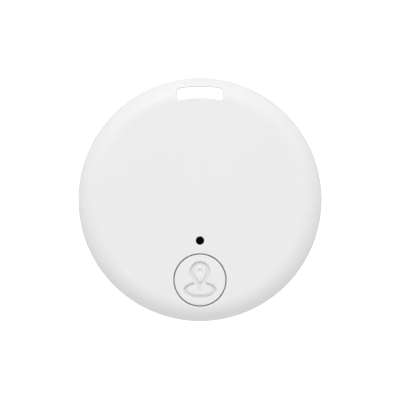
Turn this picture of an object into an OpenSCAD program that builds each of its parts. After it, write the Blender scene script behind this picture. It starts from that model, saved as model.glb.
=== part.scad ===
// Round key-finder tag. Two shells snap together round a board, a coin cell,
// a buzzer and a press button, and a strap slot runs through both shells.
// The tag lies on its rear face, which is z = 0. +Z points out of the front
// face and +Y points to the strap slot. All sizes are in millimetres.

/* [Case] */
// Outer diameter of the case
case_d = 38; // [38:0.5:42]
// Height of the closed case
case_h = 7; // [7:0.25:9]
// Radius of the rounded shoulder between the faces and the rim
edge_r = 3; // [2.8:0.1:3.2]
// Thickness of the moulded walls
wall = 1; // [0.9:0.05:1.1]

/* [Strap slot] */
// Width of the slot from end to end
slot_w = 7.1; // [5:0.05:7.2]
// Height of the slot's opening, measured along the radius
slot_t = 1.75; // [1.4:0.05:2]
// Width of the bridge between the slot and the rim
slot_bridge = 1.4; // [1.2:0.05:2]

/* [Button and sound hole] */
// Diameter of the button cap
button_d = 7.96; // [7:0.02:8]
// Gap all round the button cap
button_gap = 0.15; // [0.1:0.01:0.25]
// How far the button travels when it is pressed
button_travel = 0.25; // [0.15:0.05:0.25]
// Distance from the case's centre to the button's centre
button_offset = 12.55; // [12:0.05:12.8]
// Diameter of the sound hole
sound_hole_d = 1.32; // [0.8:0.01:1.4]
// Distance from the case's centre to the sound hole
sound_hole_offset = 6.4; // [6:0.05:6.7]

/* [Coin cell] */
// Diameter of the coin cell
cell_d = 20; // [16:1:20]
// Height of the coin cell
cell_h = 3.2; // [1.6:0.4:3.2]
// How far the cell's centre lies towards the slot
cell_offset = 4.2; // [3.8:0.1:4.2]

/* [Board] */
// Thickness of the circuit board
board_t = 0.6; // [0.5:0.05:0.6]
// Clear space under the board
board_gap = 0.5; // [0.4:0.05:0.5]

/* [Hidden] */
$fn = 96;
eps = 0.01;
fine = 0.02; // clearance between faces that meet without touching

// Case
case_r = case_d / 2;
shoulder_r = case_r - edge_r; // where the flat faces end
split_z = case_h / 2;
floor_z = wall;
ceiling_z = case_h - wall;
tongue_in = case_r - 1.3;
tongue_out = case_r - 0.65;
tongue_h = 1;
tongue_fit = 0.05;
tongue_end = 5.2; // half of the gap that the tongue leaves for the slot
notch_w = 7;
notch_h = 0.7;

// Strap slot
slot_out = case_r - slot_bridge;
slot_in = slot_out - slot_t;
slot_corner = 0.45;
slot_wall = 0.8;

// Board and what holds it
board_r = case_r - 2.4;
board_z = floor_z + board_gap;
top_z = board_z + board_t;
board_notch_w = 10;
board_notch_y = slot_in - slot_wall - 1.0;
// Heat stakes, each as its distance and angle from the case's centre
stakes = [[14.8, 140], [14.9, 193], [14.9, 296], [15, 339]];
stake_r = 0.6;
stake_head_r = 1.05;
stake_head_h = 0.35;
post_r = 1.5;
// Angles of the short ribs that carry the board's edge
rib_angles = [10, 50, 118, 165, 228, 252, 318];

// Button and switch
button_r = button_d / 2;
bore_r = button_r + button_gap;
collar_r = bore_r + 0.65;
collar_z = ceiling_z - 0.5;
flange_r = bore_r + 0.5;
flange_h = 0.5;
flange_z = collar_z - 0.08 - flange_h;
key_w = 1;
stem_r = 1.1;
rib_w = 0.5;
skin = 1; // thickness of the cap's face
icon_depth = 0.6;

switch_w = 4.8;
switch_h = 0.75;
switch_cover_h = 0.15;
switch_cavity_r = 1.75;
switch_cavity_h = 0.55;
plunger_r = 1.1;
plunger_top = top_z + 1.5;
plunger_flange_r = 1.5;
plunger_flange_h = 0.18;
dome_t = 0.06;
dome_h = button_travel + dome_t; // pressed down, the dome lies flat in its own thickness
cavity_z = top_z + switch_h - switch_cavity_h;
plunger_z = cavity_z + dome_h + fine; // underside of the plunger's flange

// Coin cell
cell_r = cell_d / 2;
cell_z = top_z + 0.1;
cell_top = cell_z + cell_h;
can_t = 0.25;
can_edge = 0.35;
can_lift = 0.15; // the can's crimped edge lies this far above the cap's face
cap_r = cell_r - 1.2;
gasket_t = 0.35;

// Battery clip
clip_t = 0.25;
clip_r = cell_r + 0.15;
clip_edge_x = -4.4; // the plate covers the cell on this side of the line
clip_legs = [125, 180, 235];
leg_w = 3;
foot_l = 1.4;
tongue_w = 3;
tongue_l = 7.5;
contact_t = 0.07;

// Parts on the board
buzzer_at = [12.6, 222];
buzzer_w = 5;
buzzer_h = 2;
chip_at = [6.3, -8.9];
chip_w = 4;
crystal_at = [11.1, -8.1];
crystal_size = [3.2, 2.5];
crystal_turn = -36;
led_at = [0, -9.25];
// Capacitors and resistors: x, y and the angle each one is turned by
capacitors = [[-3.9, -8.1, 0], [-3.9, -9.3, 0], [4.6, -6.35, 0], [6.9, -6.35, 0], [9.4, -11.6, -40],
    [9.5, -6.4, 54], [12.9, -9.4, 54]];
resistors = [[-4.4, -11.4, 90], [-5.6, -11.4, 90], [-4.4, -13.8, 90], [-5.6, -13.8, 90], [3.6, -15.2, 0],
    [-1.9, -8.6, 90]];

// ---- shared shapes ----

function arc(centre, r, from, to, steps) =
    [for (i = [0:steps]) let (a = from + (to - from) * i / steps) centre + r * [cos(a), sin(a)]];

function inner_points(points) = [for (i = [1:len(points) - 2]) points[i]];

// Moves its children to a distance and angle from the case's centre, facing outwards
module at_polar(place) {
    rotate([0, 0, place[1]]) translate([place[0], 0, 0]) children();
}

module at_button() {
    translate([0, -button_offset, 0]) children();
}

module at_sound_hole() {
    translate([0, -sound_hole_offset, 0]) children();
}

module ring(r_out, r_in, z, h) {
    translate([0, 0, z]) difference() {
        cylinder(r = r_out, h = h);
        translate([0, 0, -eps]) cylinder(r = r_in, h = h + 2 * eps);
    }
}

module disc(r, z, h) {
    translate([0, 0, z]) cylinder(r = r, h = h);
}

// A flat block with its middle at x, y and its underside at z
module block(size, z) {
    translate([-size[0] / 2, -size[1] / 2, z]) cube(size);
}

// The rounded case as one solid, taken in by inset on every side
module case_body(inset) {
    rotate_extrude() {
        translate([0, inset]) square([shoulder_r, case_h - 2 * inset]);
        translate([0, edge_r]) square([case_r - inset, case_h - 2 * edge_r]);
        for (z = [edge_r, case_h - edge_r]) intersection() {
            translate([shoulder_r, z]) circle(edge_r - inset);
            translate([0, inset]) square([case_r, case_h - 2 * inset]);
        }
    }
}

// The slot is bounded by two arcs round the case's centre, with straight ends and round corners
module slot_outline(grow) {
    corner = slot_corner + grow;
    out_r = slot_out + grow;
    in_r = slot_in - grow;
    x = slot_w / 2 + grow - corner;
    out_a = asin(x / (out_r - corner));
    in_a = asin(x / (in_r + corner));
    out_y = sqrt(pow(out_r - corner, 2) - x * x);
    in_y = sqrt(pow(in_r + corner, 2) - x * x);
    polygon(concat(
        arc([x, out_y], corner, 0, 90 - out_a, 5),
        inner_points(arc([0, 0], out_r, 90 - out_a, 90 + out_a, 12)),
        arc([-x, out_y], corner, 90 + out_a, 180, 5),
        arc([-x, in_y], corner, 180, 270 + in_a, 5),
        inner_points(arc([0, 0], in_r, 90 + in_a, 90 - in_a, 12)),
        arc([x, in_y], corner, 270 - in_a, 360, 5)
    ));
}

module slot_prism(grow, z, h) {
    translate([0, 0, z]) linear_extrude(h) slot_outline(grow);
}

// Half of the case: its wall and the wall round the slot
module shell_half(z, h) {
    intersection() {
        union() {
            difference() {
                case_body(0);
                case_body(wall);
            }
            intersection() {
                case_body(0);
                slot_prism(slot_wall, 0, case_h);
            }
        }
        disc(case_r + 1, z, h);
    }
}

// ---- the base ----

module pry_notch() {
    depth_y = tongue_out + 0.08;
    translate([-notch_w / 2, -case_r - 1, split_z - notch_h])
        cube([notch_w, case_r + 1 - depth_y, notch_h + eps]);
}

module rear_tongue() {
    difference() {
        ring(tongue_out, tongue_in, split_z - 0.8, tongue_h + 0.8);
        translate([-tongue_end, 0, 0]) cube([2 * tongue_end, case_r, case_h]);
    }
}

module board_rib() {
    intersection() {
        translate([board_r - 1, -rib_w / 2, floor_z - eps]) cube([2.2, rib_w, board_gap + eps]);
        case_body(wall / 2);
    }
}

module heat_stake() {
    disc(post_r, floor_z - eps, board_gap + eps);
    disc(stake_r, board_z - eps, board_t + 2 * eps);
    translate([0, 0, top_z]) cylinder(r1 = stake_head_r, r2 = stake_head_r - 0.3, h = stake_head_h);
}

module rear_shell() {
    color("whitesmoke") difference() {
        union() {
            shell_half(0, split_z);
            rear_tongue();
            for (a = rib_angles) rotate([0, 0, a]) board_rib();
            for (p = stakes) at_polar(p) heat_stake();
        }
        slot_prism(0, -eps, case_h);
        pry_notch();
    }
}

module circuit_board() {
    color("darkgreen") difference() {
        disc(board_r, board_z, board_t);
        translate([-board_notch_w / 2, board_notch_y, 0]) cube([board_notch_w, case_r, case_h]);
        for (p = stakes) at_polar(p) disc(stake_r + 0.1, 0, case_h);
    }
}

// ---- the battery's clip and contact ----

module clip_leg() {
    translate([clip_r, -leg_w / 2, top_z]) cube([clip_t, leg_w, cell_top + fine + clip_t - top_z]);
    translate([clip_r, -leg_w / 2, top_z]) cube([foot_l, leg_w, clip_t]);
}

module clip_plate() {
    translate([0, 0, cell_top + fine]) linear_extrude(clip_t) difference() {
        union() {
            intersection() {
                circle(clip_r + clip_t);
                translate([-cell_r - 2, -cell_r]) square([cell_r + 2 + clip_edge_x, cell_d]);
            }
            translate([clip_edge_x - 1, -tongue_w / 2]) square([tongue_l, tongue_w]);
            translate([clip_edge_x - 1 + tongue_l, 0]) circle(tongue_w / 2);
        }
        for (side = [-1, 1]) translate([clip_edge_x - 2.2, side * 3.6]) circle(1);
    }
}

module battery_clip() {
    color("silver") translate([0, cell_offset, 0]) {
        clip_plate();
        for (a = clip_legs) rotate([0, 0, a]) clip_leg();
    }
}

module negative_contact() {
    color("gold") translate([0, cell_offset, top_z]) linear_extrude(contact_t) {
        circle(2.2);
        for (a = [0:120:240]) rotate(a) {
            translate([0, -0.7]) square([5, 1.4]);
            translate([5, 0]) circle(0.7);
        }
    }
}

// ---- the switch under the button ----

module switch_base() {
    color("dimgray") at_button() difference() {
        block([switch_w, switch_w, switch_h], top_z);
        disc(switch_cavity_r, cavity_z, switch_h);
    }
}

module switch_dome() {
    r = switch_cavity_r - 0.15;
    ball = (r * r + dome_h * dome_h) / (2 * dome_h); // radius of a ball with this cap
    color("goldenrod") at_button() rotate_extrude() intersection() {
        translate([0, cavity_z + dome_h - ball]) difference() {
            circle(ball);
            circle(ball - dome_t);
        }
        translate([0, cavity_z + eps]) square([r, dome_h]);
    }
}

module switch_cover() {
    color("silver") at_button() difference() {
        block([switch_w - 0.1, switch_w - 0.1, switch_cover_h], top_z + switch_h);
        disc(plunger_r + 0.1, top_z, case_h);
    }
}

module switch_terminals() {
    color("silver") at_button() for (side = [-1, 1], y = [-1.5, 1.5])
        translate([side * (switch_w / 2 + 0.35), y, 0]) block([0.7, 0.7, 0.15], top_z);
}

module switch_plunger() {
    color("black") at_button() {
        disc(plunger_flange_r, plunger_z, plunger_flange_h);
        disc(plunger_r, plunger_z, plunger_top - plunger_z);
    }
}

// ---- other parts on the board ----

module buzzer_case() {
    corner = 1.1;
    half = buzzer_w / 2;
    color("black") at_polar(buzzer_at) difference() {
        translate([0, 0, top_z + 0.1]) linear_extrude(buzzer_h - 0.1) polygon([[-half, -half],
            [half, -half], [half, half - corner], [half - corner, half], [-half, half]]);
        disc(0.7, top_z + buzzer_h - 0.6, buzzer_h);
    }
}

module buzzer_pads() {
    color("silver") at_polar(buzzer_at) for (x = [-1, 1], y = [-1, 1])
        translate([x * 1.7, y * 1.7, 0]) block([1.2, 1.2, 0.1], top_z);
}

module radio_chip() {
    color("black") translate(chip_at) block([chip_w, chip_w, 0.8], top_z);
}

module crystal() {
    color("silver") translate(crystal_at) rotate([0, 0, crystal_turn])
        block([crystal_size[0], crystal_size[1], 0.7], top_z);
}

module led_base() {
    color("white") translate(led_at) block([1.6, 0.8, 0.25], top_z);
}

module led_lens() {
    color("lightyellow") translate(led_at) block([1.1, 0.8, 0.35], top_z + 0.25);
}

module at_passive(place) {
    translate([place[0], place[1], 0]) rotate([0, 0, place[2]]) children();
}

module chip_capacitors() {
    color("tan") for (p = capacitors) at_passive(p) block([1.6, 0.8, 0.75], top_z);
}

module chip_resistors() {
    color("black") for (p = resistors) at_passive(p) block([1.6, 0.8, 0.45], top_z);
}

// ---- the coin cell ----

module at_cell() {
    translate([0, cell_offset, 0]) children();
}

module cell_can() {
    can_z = cell_z + can_lift;
    color("silver") at_cell() rotate_extrude() difference() {
        union() {
            translate([0, can_z]) square([cell_r - can_edge, cell_top - can_z]);
            translate([0, can_z + can_edge]) square([cell_r, cell_top - can_z - 2 * can_edge]);
            for (z = [can_z + can_edge, cell_top - can_edge]) intersection() {
                translate([cell_r - can_edge, z]) circle(can_edge);
                translate([0, can_z]) square([cell_r, cell_top - can_z]);
            }
        }
        translate([0, can_z + can_t]) square([cell_r - can_t, cell_top - can_z - 2 * can_t]);
        square([cap_r + gasket_t, can_z + 2 * can_t]);
    }
}

module cell_gasket() {
    color("dimgray") at_cell() ring(cap_r + gasket_t - fine, cap_r + fine, cell_z + 0.08, 1);
}

module cell_cap() {
    color("silver") at_cell() difference() {
        disc(cap_r, cell_z, 1.2);
        disc(cap_r - can_t, cell_z + can_t, 1.2);
    }
}

module cell_core() {
    core_z = cell_z + can_t + fine;
    color("dimgray") at_cell() disc(cap_r - can_t - fine, core_z, cell_top - can_t - fine - core_z);
}

// ---- the front ----

module front_rabbet() {
    difference() {
        ring(tongue_out + tongue_fit, tongue_in - tongue_fit, split_z - eps, tongue_h + tongue_fit + eps);
        translate([-tongue_end + 0.2, 0, 0]) cube([2 * tongue_end - 0.4, case_r, case_h]);
    }
}

module front_shell() {
    color("whitesmoke") difference() {
        union() {
            shell_half(split_z, case_h - split_z);
            intersection() {
                at_button() disc(collar_r, collar_z, 1);
                case_body(wall / 2);
            }
        }
        front_rabbet();
        slot_prism(0, 0, case_h + eps);
        at_button() disc(bore_r, collar_z - eps, case_h);
        at_button() translate([0, bore_r, 0]) block([key_w + 0.2, 1, ceiling_z - collar_z + eps], collar_z - eps);
        at_sound_hole() disc(sound_hole_d / 2, split_z, case_h);
    }
}

module mesh_tape() {
    color("black") at_sound_hole() ring(1.2, 0.8, ceiling_z - 0.1, 0.1);
}

module dust_mesh() {
    color("black") at_sound_hole() disc(1.2, ceiling_z - 0.16, 0.06);
}

// ---- the button ----

// A map pin: a round head that tapers to a tip below it
module pin_outline(r, tip) {
    a = acos(r / tip);
    polygon(concat(arc([0, 0], r, a - 90, 270 - a, 28), [[0, -tip]]));
}

module oval(rx, ry) {
    polygon([for (i = [0:47]) [rx * cos(i * 7.5), ry * sin(i * 7.5)]]);
}

// The common sign for a place: a pin that stands in a ring on the ground
module place_sign() {
    translate([0, 1.275]) {
        difference() {
            pin_outline(1.61, 3.15);
            pin_outline(1, 1.75);
        }
        translate([0, 0.05]) pin_outline(0.4, 0.5);
    }
    translate([0, -1.54]) difference() {
        oval(2.54, 1.235);
        oval(2.05, 0.8);
    }
}

module button_cap() {
    face_z = case_h - skin;
    color("whitesmoke") {
        difference() {
            intersection() {
                at_button() disc(button_r, flange_z, case_h);
                case_body(0);
            }
            at_button() ring(button_r - 0.7, stem_r, 0, face_z);
            at_button() translate([0, 0, case_h - icon_depth]) linear_extrude(1) place_sign();
        }
        at_button() {
            ring(flange_r, button_r - 0.7, flange_z, flange_h);
            disc(stem_r, plunger_top + 0.03, face_z - plunger_top);
            intersection() {
                for (a = [0, 90]) rotate([0, 0, a])
                    block([button_d, rib_w, face_z - flange_z + eps], flange_z);
                disc(button_r - 0.5, flange_z, case_h);
            }
            translate([0, button_r + 0.2, 0]) block([key_w, 0.9, ceiling_z - flange_z - 0.3], flange_z);
        }
    }
}

rear_shell();
circuit_board();
battery_clip();
negative_contact();
switch_base();
switch_dome();
switch_cover();
switch_terminals();
switch_plunger();
buzzer_case();
buzzer_pads();
radio_chip();
crystal();
led_base();
led_lens();
chip_capacitors();
chip_resistors();
cell_can();
cell_gasket();
cell_cap();
cell_core();
front_shell();
mesh_tape();
dust_mesh();
button_cap();
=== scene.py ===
import math

import bmesh
import bpy
from mathutils import Matrix, Vector


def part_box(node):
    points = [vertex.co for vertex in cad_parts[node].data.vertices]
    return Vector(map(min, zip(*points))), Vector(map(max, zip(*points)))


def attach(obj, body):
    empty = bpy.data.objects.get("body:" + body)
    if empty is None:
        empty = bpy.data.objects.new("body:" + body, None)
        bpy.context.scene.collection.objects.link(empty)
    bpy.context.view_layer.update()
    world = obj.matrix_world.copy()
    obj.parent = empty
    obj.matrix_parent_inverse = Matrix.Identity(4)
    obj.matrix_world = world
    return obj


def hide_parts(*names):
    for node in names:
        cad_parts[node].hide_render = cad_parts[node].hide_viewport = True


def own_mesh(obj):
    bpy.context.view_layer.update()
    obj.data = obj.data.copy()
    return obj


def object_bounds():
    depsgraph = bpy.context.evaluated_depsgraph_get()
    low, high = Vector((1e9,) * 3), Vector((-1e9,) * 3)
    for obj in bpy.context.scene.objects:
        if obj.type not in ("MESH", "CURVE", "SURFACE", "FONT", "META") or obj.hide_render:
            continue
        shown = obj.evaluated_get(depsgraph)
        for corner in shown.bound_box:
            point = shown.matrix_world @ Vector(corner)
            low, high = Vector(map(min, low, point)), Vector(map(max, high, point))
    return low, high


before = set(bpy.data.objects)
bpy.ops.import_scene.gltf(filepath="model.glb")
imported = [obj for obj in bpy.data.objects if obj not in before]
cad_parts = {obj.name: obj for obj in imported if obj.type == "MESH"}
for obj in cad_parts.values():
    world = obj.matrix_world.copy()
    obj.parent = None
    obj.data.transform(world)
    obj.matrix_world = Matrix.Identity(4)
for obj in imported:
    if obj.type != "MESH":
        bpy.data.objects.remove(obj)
cad_box = [list(corner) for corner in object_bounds()]

MM = 0.001


# ---------------------------------------------------------------------------
# Studio. The tag lies face up on a white table under a big soft light that
# leans in from the slot's side, with white card all round. The camera looks
# straight down on it.
# ---------------------------------------------------------------------------

scene = bpy.context.scene
scene.view_settings.view_transform = "Standard"
scene.view_settings.look = "None"

camera_height = 2.4
sensor_width = 36           # in millimetres, like the lens
view_width = 0.0624         # how much of the table the picture takes in
camera_y = -0.00008
card_light = 0.74           # how brightly the white card lights the tag
seen_card_light = 1.0       # and how bright the card itself looks
table_grey = 0.5
table_glow_light = 0.31     # the table's own glow, as the tag gets it
table_glow_seen = 1.1       # and as it looks
table_r = 3.0
table_drop = 0.00002        # keeps the table's face clear of the rear face

camera_data = bpy.data.cameras.new("camera")
camera_data.sensor_width = sensor_width
camera_data.lens = sensor_width * (camera_height - cad_box[1][2] / 2) / view_width
camera_data.clip_start = 0.01
camera_data.clip_end = 10
camera = bpy.data.objects.new("camera", camera_data)
camera.location = (0, camera_y, camera_height)
scene.collection.objects.link(camera)
scene.camera = camera

light_data = bpy.data.lights.new("slot_side_light", "AREA")
light_data.shape = "SQUARE"
light_data.size = 0.35
light_data.energy = 1.66
light = bpy.data.objects.new("slot_side_light", light_data)
light.location = (-0.05, 0.447, 0.536)
light.rotation_mode = "QUATERNION"
light.rotation_quaternion = (-light.location).to_track_quat("-Z", "Y")
scene.collection.objects.link(light)

world = bpy.data.worlds.new("white_card")
world.use_nodes = True
scene.world = world
card_nodes, card_links = world.node_tree.nodes, world.node_tree.links
card_nodes["Background"].inputs["Color"].default_value = (1, 1, 1, 1)
card_nodes["Background"].inputs["Strength"].default_value = card_light
seen_card = card_nodes.new("ShaderNodeBackground")
seen_card.inputs["Strength"].default_value = seen_card_light
light_path = card_nodes.new("ShaderNodeLightPath")
card_mix = card_nodes.new("ShaderNodeMixShader")
card_links.new(light_path.outputs["Is Camera Ray"], card_mix.inputs[0])
card_links.new(card_nodes["Background"].outputs[0], card_mix.inputs[1])
card_links.new(seen_card.outputs[0], card_mix.inputs[2])
card_links.new(card_mix.outputs[0], card_nodes["World Output"].inputs["Surface"])

table_material = bpy.data.materials.new("white_table")
table_material.use_nodes = True
table_surface = table_material.node_tree.nodes["Principled BSDF"]
table_surface.inputs["Base Color"].default_value = (table_grey, table_grey, table_grey, 1)
table_surface.inputs["Roughness"].default_value = 0.9
table_surface.inputs["Emission Color"].default_value = (1, 1, 1, 1)
table_path = table_material.node_tree.nodes.new("ShaderNodeLightPath")
table_glow = table_material.node_tree.nodes.new("ShaderNodeMapRange")
table_glow.inputs["To Min"].default_value = table_glow_light
table_glow.inputs["To Max"].default_value = table_glow_seen
table_material.node_tree.links.new(table_path.outputs["Is Camera Ray"], table_glow.inputs["Value"])
table_material.node_tree.links.new(table_glow.outputs["Result"], table_surface.inputs["Emission Strength"])

table_bm = bmesh.new()
bmesh.ops.create_circle(table_bm, cap_ends=True, radius=table_r, segments=64)
table_mesh = bpy.data.meshes.new("table")
table_bm.to_mesh(table_mesh)
table_bm.free()
table_mesh.materials.append(table_material)
table = bpy.data.objects.new("table", table_mesh)
table.location.z = -table_drop
scene.collection.objects.link(table)


# ---------------------------------------------------------------------------
# Rear shell. The lower half of the case, injection moulded in white ABS with
# a tongue that plugs into the front half. Four posts carry the board, and
# their tips are melted over it.
# ---------------------------------------------------------------------------

front_low, front_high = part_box("front_shell")
case_r = (front_high.x - front_low.x) / 2 / MM
case_h = front_high.z / MM
split_z = front_low.z / MM
edge_r = 3.0
shoulder_r = case_r - edge_r
wall = 1.0
seam_r = 0.1            # rounding of the parting line's two lips
shell_steps = 240
smooth_angle = 38       # edges that turn by less than this shade smooth, in degrees

slot_in = 15.85
slot_out = 17.6
slot_w = 7.1
slot_corner = 0.45
slot_wall = 0.8
slot_mouth_r = 0.12        # rounding of the slot's mouths
slot_lip_r = 0.26          # the same under the outer bridge
seam_groove = 0.07

tongue_in = case_r - 1.3
tongue_out = case_r - 0.65
tongue_top = split_z + 1
stakes = [(14.8, 140), (14.9, 193), (14.9, 296), (15, 339)]
rib_angles = [10, 50, 118, 165, 228, 252, 318]
notch_floor_y = -tongue_out - 0.08
board_low, board_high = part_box("circuit_board")
board_z = board_low.z / MM
top_z = board_high.z / MM
floor_z = wall
ceiling_z = case_h - wall


def arc(centre, radius, start, end, steps):
    """Points along an arc, with the angles in degrees."""
    turns = [math.radians(start + (end - start) * i / steps) for i in range(steps + 1)]
    return [(centre[0] + radius * math.cos(t), centre[1] + radius * math.sin(t)) for t in turns]


def spun(profile, centre=(0, 0), steps=96, closed=False):
    """A solid of revolution about the vertical line through centre. An open profile gets flat ends."""
    bm = bmesh.new()
    verts = [bm.verts.new((centre[0] + r, centre[1], z)) for r, z in profile]
    edges = [bm.edges.new(pair) for pair in zip(verts, verts[1:])]
    if closed:
        edges.append(bm.edges.new((verts[-1], verts[0])))
    bmesh.ops.spin(bm, geom=verts + edges, cent=(*centre, 0), axis=(0, 0, 1), dvec=(0, 0, 0),
                   angle=2 * math.pi, steps=steps, use_merge=True, use_duplicate=False)
    bmesh.ops.remove_doubles(bm, verts=bm.verts, dist=1e-5)
    bmesh.ops.holes_fill(bm, edges=[e for e in bm.edges if e.is_boundary], sides=0)
    bmesh.ops.recalc_face_normals(bm, faces=bm.faces)
    return bm


def lofted(rings):
    """A closed solid through rings of points, filled at both ends."""
    bm = bmesh.new()
    loops = []
    for ring in rings:
        verts = [bm.verts.new(point) for point in ring]
        loops.append([bm.edges.new(pair) for pair in zip(verts, verts[1:] + verts[:1])])
    for lower, upper in zip(loops, loops[1:]):
        bmesh.ops.bridge_loops(bm, edges=lower + upper)
    for end in (loops[0], loops[-1]):
        bmesh.ops.triangle_fill(bm, edges=end, use_beauty=True)
    bmesh.ops.recalc_face_normals(bm, faces=bm.faces)
    return bm


def boxed(size, middle, turn=0):
    """A box of that size round its middle, turned about Z by turn degrees after it is placed."""
    bm = bmesh.new()
    bmesh.ops.create_cube(bm, size=1)
    bmesh.ops.scale(bm, vec=size, verts=bm.verts)
    bmesh.ops.translate(bm, vec=middle, verts=bm.verts)
    bmesh.ops.rotate(bm, cent=(0, 0, 0), matrix=Matrix.Rotation(math.radians(turn), 3, "Z"), verts=bm.verts)
    return bm


def together(*parts):
    """Several shapes that don't touch, in one bmesh."""
    whole = bmesh.new()
    for part in parts:
        mesh = bpy.data.meshes.new("part")
        part.to_mesh(mesh)
        part.free()
        whole.from_mesh(mesh)
        bpy.data.meshes.remove(mesh)
    return whole


def helper_object(bm, name):
    """A bmesh as an object of its own, for the solid operations."""
    mesh = bpy.data.meshes.new(name)
    bm.to_mesh(mesh)
    bm.free()
    made = bpy.data.objects.new(name, mesh)
    scene.collection.objects.link(made)
    return made


def carved(bm, *steps):
    """Joins, cuts or intersects a solid with one tool after another. Each step is (operation, tool)."""
    body = helper_object(bm, "carved")
    tools = []
    for operation, tool_bm in steps:
        tool = helper_object(tool_bm, "tool")
        tools.append(tool)
        step = body.modifiers.new("step", "BOOLEAN")
        step.operation = operation
        step.solver = "EXACT"
        step.object = tool
    result = bmesh.new()
    result.from_object(body, bpy.context.evaluated_depsgraph_get())
    for used in [body, *tools]:
        mesh = used.data
        bpy.data.objects.remove(used)
        bpy.data.meshes.remove(mesh)
    bmesh.ops.remove_doubles(result, verts=result.verts, dist=1e-5)
    bmesh.ops.dissolve_degenerate(result, edges=result.edges, dist=1e-5)
    bmesh.ops.delete(result, geom=[e for e in result.edges if e.is_wire], context="EDGES")
    return result


def make_piece(name, bm, body, material, replaced=()):
    """Turns a bmesh in millimetres into a finished piece that rides on a body."""
    bmesh.ops.scale(bm, vec=(MM, MM, MM), verts=bm.verts)
    mesh = bpy.data.meshes.new(name)
    bm.to_mesh(mesh)
    bm.free()
    mesh.materials.append(material)
    mesh.shade_smooth()
    mesh.set_sharp_from_angle(angle=math.radians(smooth_angle))
    piece = bpy.data.objects.new(name, mesh)
    scene.collection.objects.link(piece)
    even = piece.modifiers.new("even_shading", "WEIGHTED_NORMAL")
    even.mode = "FACE_AREA"
    even.keep_sharp = True
    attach(piece, body)
    if replaced:
        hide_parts(*replaced)
    return piece


def shoulder_drop(x, y):
    """How far the case's outer face lies below its flat top at a point."""
    beyond = min(max(math.hypot(x, y) - shoulder_r, 0), edge_r)
    return edge_r - math.sqrt(edge_r ** 2 - beyond ** 2)


def flare(radius, steps=6, end=78, lift=0.01):
    """The rounded mouth of a cut, as (height above the face, growth) pairs."""
    curve = [math.radians(end * i / steps) for i in range(steps + 1)]
    mouth = [(radius * (math.sin(t) - 1), radius * (1 - math.cos(t))) for t in curve]
    rise, growth = mouth[-1]
    growth += (lift - rise) * math.tan(math.radians(end))
    return mouth + [(lift, growth), (0.5, growth)]


def slot_outline(grow):
    """Two arcs round the case's centre with straight ends and round corners."""
    corner = slot_corner + grow
    outer, inner = slot_out + grow, slot_in - grow
    x = slot_w / 2 + grow - corner
    outer_turn = math.degrees(math.asin(x / (outer - corner)))
    inner_turn = math.degrees(math.asin(x / (inner + corner)))
    outer_y = math.sqrt((outer - corner) ** 2 - x ** 2)
    inner_y = math.sqrt((inner + corner) ** 2 - x ** 2)
    return (
        arc((x, outer_y), corner, 0, 90 - outer_turn, 8)
        + arc((0, 0), outer, 90 - outer_turn, 90 + outer_turn, 28)[1:-1]
        + arc((-x, outer_y), corner, 90 + outer_turn, 180, 8)
        + arc((-x, inner_y), corner, 180, 270 + inner_turn, 8)
        + arc((0, 0), inner, 90 + inner_turn, 90 - inner_turn, 28)[1:-1]
        + arc((x, inner_y), corner, 270 - inner_turn, 360, 8)
    )


def slot_ring(grow, z):
    """The slot's outline, grown, at a height."""
    return [(x, y, z) for x, y in slot_outline(grow)]


def slot_cutter(seam_z):
    """The slot from face to face, with rounded mouths and a V groove at the height seam_z."""
    straight = slot_outline(0)
    wide = slot_outline(1)
    middle_r = (slot_in + slot_out) / 2
    front_rings = []
    for rise, growth in flare(1)[:-1]:
        ring = []
        for near, far in zip(straight, wide):
            outwards = min(max((math.hypot(*near) - middle_r) * 2, 0), 1)
            size = slot_mouth_r + (slot_lip_r - slot_mouth_r) * outwards
            x, y = (near[i] + (far[i] - near[i]) * growth * size for i in (0, 1))
            ring.append((x, y, case_h + rise * size - shoulder_drop(x, y)))
        front_rings.append(ring)
    front_rings.append([(x, y, z + 0.5) for x, y, z in front_rings[-1]])
    rear_rings = [[(x, y, case_h - z) for x, y, z in ring] for ring in reversed(front_rings)]
    seam = [slot_ring(0, seam_z - seam_groove),
            slot_ring(seam_groove, seam_z),
            slot_ring(0, seam_z + seam_groove)]
    return lofted(rear_rings + seam + front_rings)


def case_profile(inset):
    """Outline of the closed case in a half plane, taken in by inset."""
    radius = edge_r - inset
    return (arc((shoulder_r, edge_r), radius, -90, 0, 16)
            + arc((shoulder_r, case_h - edge_r), radius, 0, 90, 16))


def slot_boss(low, high):
    """The wall round the slot between two heights, kept inside the case's skin."""
    return carved(lofted([slot_ring(slot_wall, low), slot_ring(slot_wall, high)]),
                  ("INTERSECT", spun(case_profile(wall * 0.4), steps=shell_steps)))


def tongue_gap(half_width):
    """The stretch that the tongue leaves for the slot's wall."""
    return boxed((2 * half_width, case_r, case_h), (0, case_r / 2, case_h / 2))


rear_profile = (
    arc((shoulder_r, edge_r), edge_r, -90, 0, 22)
    + arc((case_r - seam_r, split_z - seam_r), seam_r, 0, 90, 5)
    + [(case_r - wall, split_z)]
    + arc((shoulder_r, edge_r), edge_r - wall, 0, -90, 12)
)
rear_tongue = carved(
    spun([(tongue_in, split_z - 0.8), (tongue_out, split_z - 0.8), (tongue_out, tongue_top - 0.15),
          (tongue_out - 0.12, tongue_top), (tongue_in + 0.1, tongue_top), (tongue_in, tongue_top - 0.1)],
         steps=shell_steps, closed=True),
    ("DIFFERENCE", tongue_gap(5.2)))


def stake_profile():
    """A post, the pin on it and the dome that its tip is melted into."""
    post = [(1.5, floor_z - 0.1), (1.5, board_z - 0.1), (1.4, board_z)]
    pin = [(0.6, board_z), (0.6, top_z)]
    melted_tip = [(1.0, top_z), (1.05, top_z + 0.05), (1.02, top_z + 0.14), (0.9, top_z + 0.24),
                  (0.66, top_z + 0.31), (0.36, top_z + 0.34), (0.3, top_z + 0.3)]
    return post + pin + melted_tip


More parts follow.
